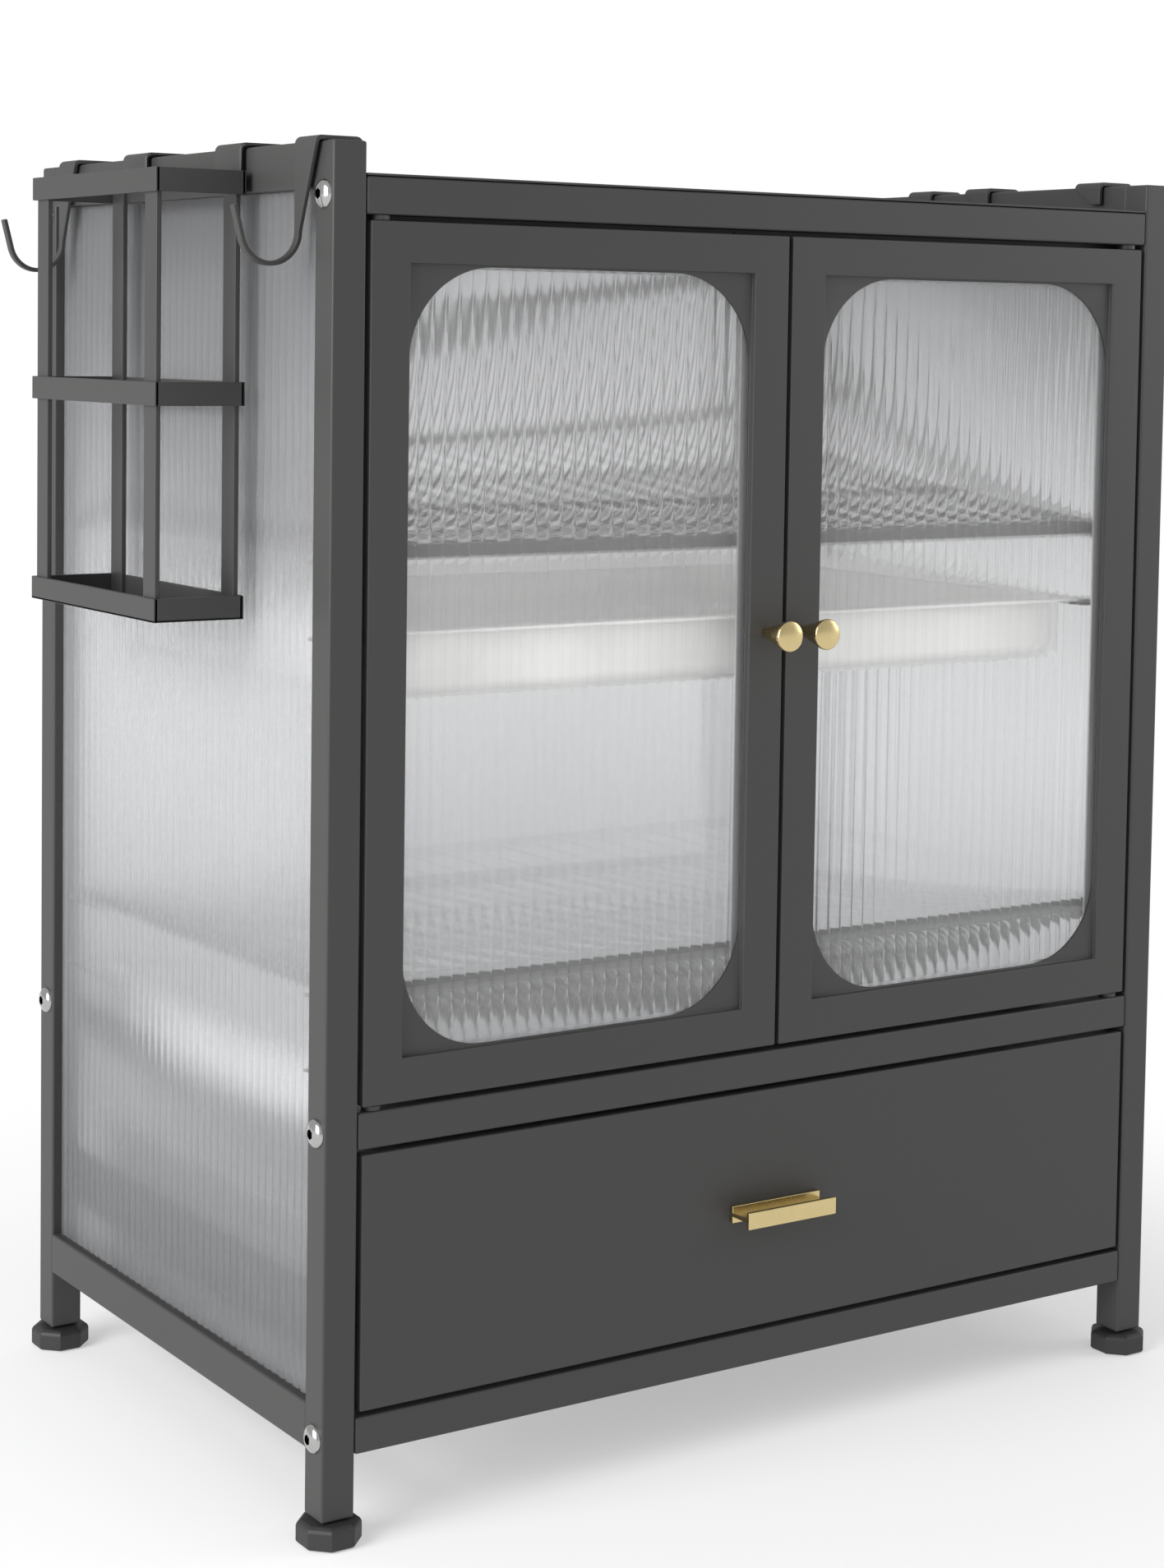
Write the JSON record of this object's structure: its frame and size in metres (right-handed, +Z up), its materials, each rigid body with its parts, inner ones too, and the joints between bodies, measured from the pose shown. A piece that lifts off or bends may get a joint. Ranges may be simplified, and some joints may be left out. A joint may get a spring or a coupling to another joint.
{
  "type": "dish cabinet",
  "caption": "Countertop dish cabinet: tube frame, reeded panels, glazed doors over racks and drip trays, a drawer below, hang-on basket and hooks",
  "frame": {"origin": "middle of the bounding box's base, on the surface that the feet stand on", "axes": "+X to the right as seen from the front, the doors and the drawer face -Y, +Z up"},
  "size_m": [0.7004, 0.4116, 0.7528],
  "materials": {
    "frame_coat": "satin powder coat",
    "black_plastic": "fine grain",
    "reeded_sheet": "reeded, translucent",
    "tray_white": "satin",
    "brass": "polished",
    "chrome_bolt": "polished",
    "zinc": "zinc plated"
  },
  "bodies": {
    "cabinet": {"left_side_frame": "frame_coat", "right_side_frame": "frame_coat", "front_top_rail": "frame_coat", "front_middle_rail": "frame_coat", "front_bottom_rail": "frame_coat", "rear_top_rail": "frame_coat", "rear_middle_rail": "frame_coat", "rear_bottom_rail": "frame_coat", "top_panel": "frame_coat", "left_side_panel": "reeded_sheet", "right_side_panel": "reeded_sheet", "upper_back_panel": "reeded_sheet", "lower_back_panel": "reeded_sheet", "bolt_left_front_top": "chrome_bolt", "bolt_left_front_middle": "chrome_bolt", "bolt_left_front_bottom": "chrome_bolt", "bolt_left_rear_top": "chrome_bolt", "bolt_left_rear_middle": "chrome_bolt", "bolt_right_front_top": "chrome_bolt", "bolt_right_front_middle": "chrome_bolt", "bolt_right_front_bottom": "chrome_bolt", "bolt_right_rear_top": "chrome_bolt", "bolt_right_rear_middle": "chrome_bolt", "upper_rack": "frame_coat", "upper_drip_tray": "tray_white", "lower_rack": "frame_coat", "lower_drip_tray": "tray_white", "left_door_top_bush": "black_plastic", "left_door_bottom_bush": "black_plastic", "right_door_top_bush": "black_plastic", "right_door_bottom_bush": "black_plastic", "door_catch": "black_plastic", "left_outer_runner": "zinc", "right_outer_runner": "zinc"},
    "left_door": {"left_door_leaf": "frame_coat", "left_door_pane": "reeded_sheet", "left_pane_retainer": "zinc", "left_door_knob": "brass"},
    "right_door": {"right_door_leaf": "frame_coat", "right_door_pane": "reeded_sheet", "right_pane_retainer": "zinc", "right_door_knob": "brass"},
    "drawer": {"drawer_front": "frame_coat", "drawer_pull": "brass", "drawer_box": "frame_coat", "left_inner_runner": "zinc", "right_inner_runner": "zinc"},
    "basket": {"knife_basket": "frame_coat"},
    "hook_left_front": {"left_front_hook": "frame_coat"},
    "hook_left_rear": {"left_rear_hook": "frame_coat"},
    "hook_right_front": {"right_front_hook": "frame_coat"},
    "hook_right_middle": {"right_middle_hook": "frame_coat"},
    "hook_right_rear": {"right_rear_hook": "frame_coat"},
    "hook_right_end": {"right_end_hook": "frame_coat"},
    "foot_front_left": {"foot_front_left": "black_plastic"},
    "foot_front_right": {"foot_front_right": "black_plastic"},
    "foot_rear_left": {"foot_rear_left": "black_plastic"},
    "foot_rear_right": {"foot_rear_right": "black_plastic"}
  },
  "joints": [
    {"name": "left_door_hinge", "type": "hinge", "parent": "cabinet", "child": "left_door", "pos_m": [-0.2612, -0.17481, 0.473], "axis": [0, 0, -1], "range_deg": [0, 110]},
    {"name": "right_door_hinge", "type": "hinge", "parent": "cabinet", "child": "right_door", "pos_m": [0.2768, -0.17481, 0.473], "axis": [0, 0, 1], "range_deg": [0, 110]},
    {"name": "drawer_slide", "type": "slide", "parent": "cabinet", "child": "drawer", "axis": [0, -1, 0], "range_m": [0, 0.26]},
    {"name": "knife_basket_lift", "type": "slide", "parent": "cabinet", "child": "basket", "axis": [0, 0, 1], "range_m": [0, 0.03]},
    {"name": "left_front_hook_lift", "type": "slide", "parent": "cabinet", "child": "hook_left_front", "axis": [0, 0, 1], "range_m": [0, 0.02]},
    {"name": "left_rear_hook_lift", "type": "slide", "parent": "cabinet", "child": "hook_left_rear", "axis": [0, 0, 1], "range_m": [0, 0.02]},
    {"name": "right_front_hook_lift", "type": "slide", "parent": "cabinet", "child": "hook_right_front", "axis": [0, 0, 1], "range_m": [0, 0.02]},
    {"name": "right_middle_hook_lift", "type": "slide", "parent": "cabinet", "child": "hook_right_middle", "axis": [0, 0, 1], "range_m": [0, 0.02]},
    {"name": "right_rear_hook_lift", "type": "slide", "parent": "cabinet", "child": "hook_right_rear", "axis": [0, 0, 1], "range_m": [0, 0.02]},
    {"name": "right_end_hook_lift", "type": "slide", "parent": "cabinet", "child": "hook_right_end", "axis": [0, 0, 1], "range_m": [0, 0.02]},
    {"name": "foot_front_left_turn", "type": "hinge", "parent": "cabinet", "child": "foot_front_left", "pos_m": [-0.2822, -0.17081, 0.014], "axis": [0, 0, 1], "continuous": true},
    {"name": "foot_front_right_turn", "type": "hinge", "parent": "cabinet", "child": "foot_front_right", "pos_m": [0.2978, -0.17081, 0.014], "axis": [0, 0, 1], "continuous": true},
    {"name": "foot_rear_left_turn", "type": "hinge", "parent": "cabinet", "child": "foot_rear_left", "pos_m": [-0.2822, 0.18918, 0.014], "axis": [0, 0, 1], "continuous": true},
    {"name": "foot_rear_right_turn", "type": "hinge", "parent": "cabinet", "child": "foot_rear_right", "pos_m": [0.2978, 0.18918, 0.014], "axis": [0, 0, 1], "continuous": true}
  ]
}
